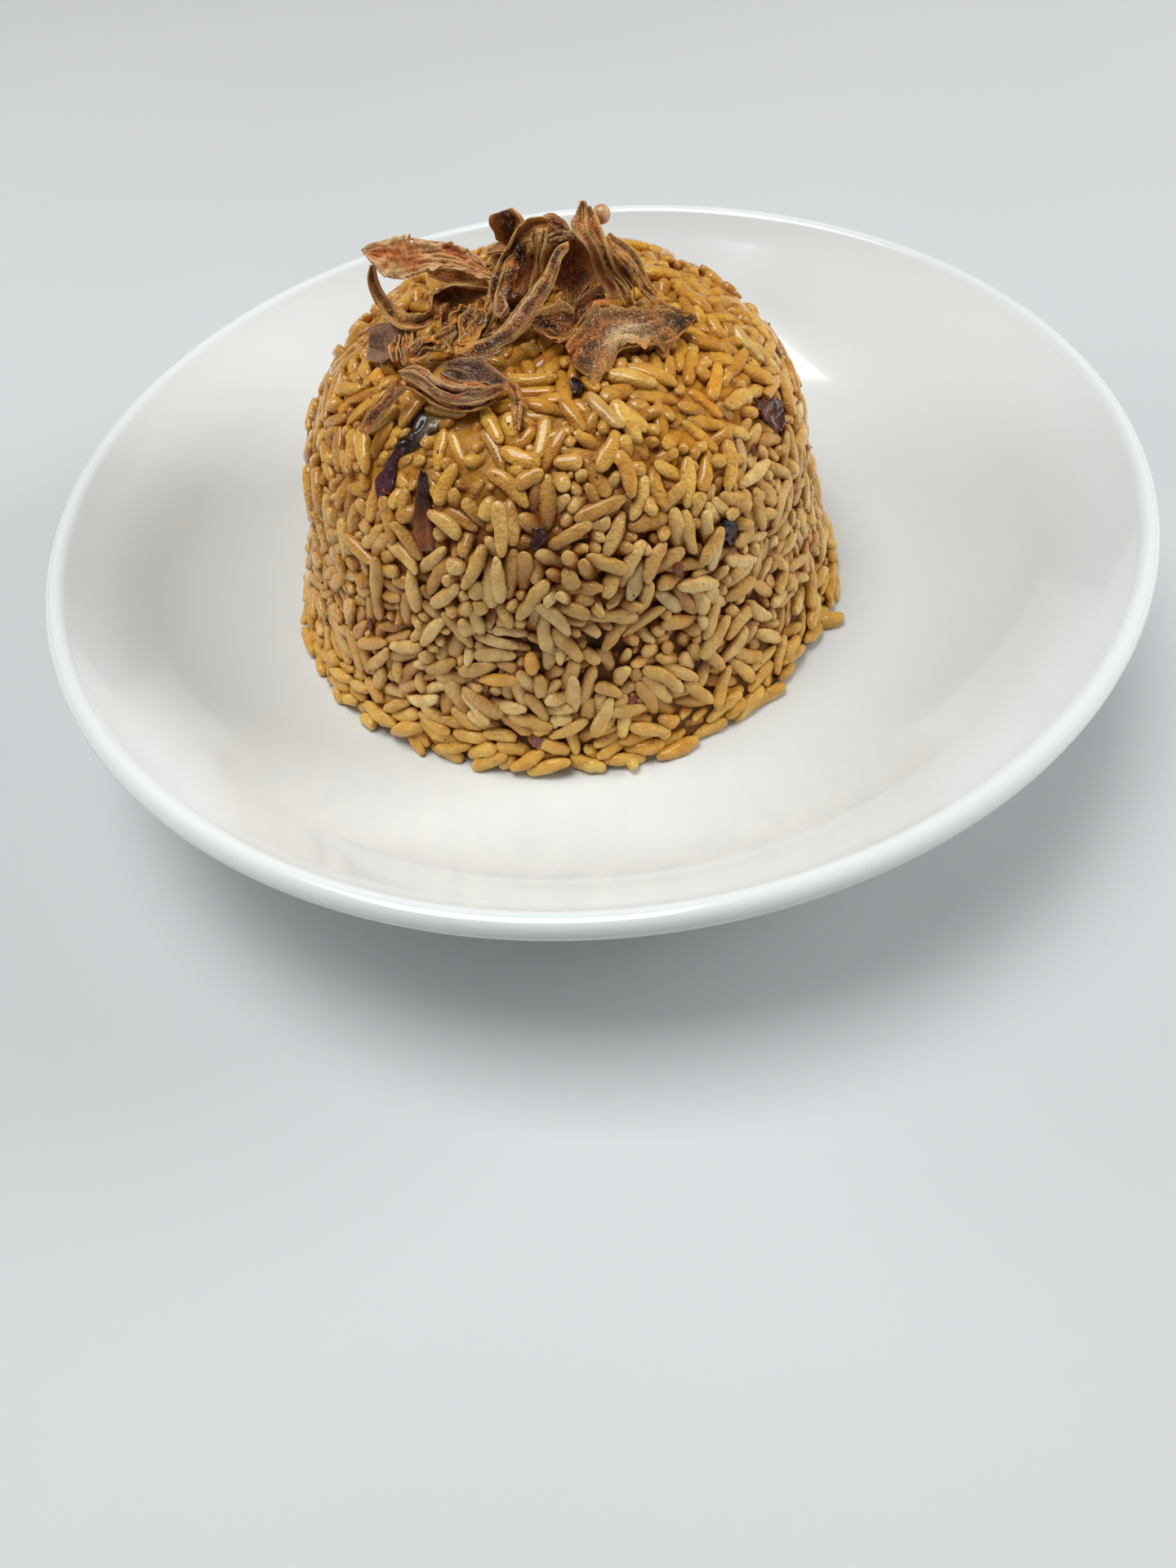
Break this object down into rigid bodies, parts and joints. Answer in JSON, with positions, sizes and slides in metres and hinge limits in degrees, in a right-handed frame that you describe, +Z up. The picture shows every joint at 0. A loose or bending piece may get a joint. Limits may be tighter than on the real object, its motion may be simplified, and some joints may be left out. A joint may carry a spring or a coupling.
{
  "type": "moulded rice with fried onion in a bowl",
  "caption": "Dome of spiced brown rice turned out into a white shallow coupe bowl, with a tangle of crisp fried onion on its top and softer onion shreds on its side.",
  "frame": {"origin": "on the table under the middle of the bowl's foot, at the centre of the bottom of the object's box", "axes": "+Z up out of the bowl; +X to the right and +Y away from a guest who sees the dish as the picture does"},
  "size_m": [0.21, 0.21, 0.0895],
  "materials": {
    "glaze": "gloss",
    "rice": "moist",
    "onion_tan": "crisp",
    "onion_gold": "crisp",
    "onion_red": "crisp",
    "onion_mauve": "crisp",
    "onion_brown": "crisp",
    "onion_grey": "satin",
    "onion_soft": "gloss"
  },
  "bodies": {
    "root": {"bowl": "glaze", "rice": "rice", "onion_arch_left": "onion_tan", "onion_back_curl": "onion_tan", "onion_back_flake": "onion_grey", "onion_back_leaf": "onion_brown", "onion_back_ribbon": "onion_tan", "onion_back_slope": "onion_red", "onion_back_strand": "onion_tan", "onion_band_left": "onion_mauve", "onion_bead": "onion_gold", "onion_boat_back": "onion_grey", "onion_boat_front": "onion_red", "onion_boat_under": "onion_brown", "onion_cup_centre": "onion_brown", "onion_curl_centre": "onion_mauve", "onion_fibres_left": "onion_tan", "onion_flake_left": "onion_grey", "onion_flap_centre": "onion_mauve", "onion_fold_left": "onion_gold", "onion_hood_top": "onion_brown", "onion_hook_left": "onion_tan", "onion_leaf_inner": "onion_brown", "onion_leaf_under": "onion_brown", "onion_leg_left": "onion_tan", "onion_leg_right": "onion_tan", "onion_loop_left": "onion_tan", "onion_petal_left": "onion_red", "onion_ribbon_left": "onion_tan", "onion_ribbon_long": "onion_tan", "onion_rim_top": "onion_tan", "onion_sheet_centre": "onion_brown", "onion_sheet_right": "onion_brown", "onion_spike_side": "onion_tan", "onion_spike_top": "onion_red", "onion_strand_back": "onion_tan", "onion_strand_fork": "onion_tan", "onion_strand_inner": "onion_tan", "onion_strand_right": "onion_tan", "onion_stub_back": "onion_brown", "onion_tuft_centre": "onion_gold", "onion_twig_inner": "onion_tan", "onion_twist_centre": "onion_brown", "soft_brown": "onion_soft", "soft_chip": "onion_soft", "soft_foot": "onion_soft", "soft_long": "onion_soft", "soft_middle": "onion_soft", "soft_right": "onion_soft", "soft_top": "onion_soft"}
  },
  "joints": []
}
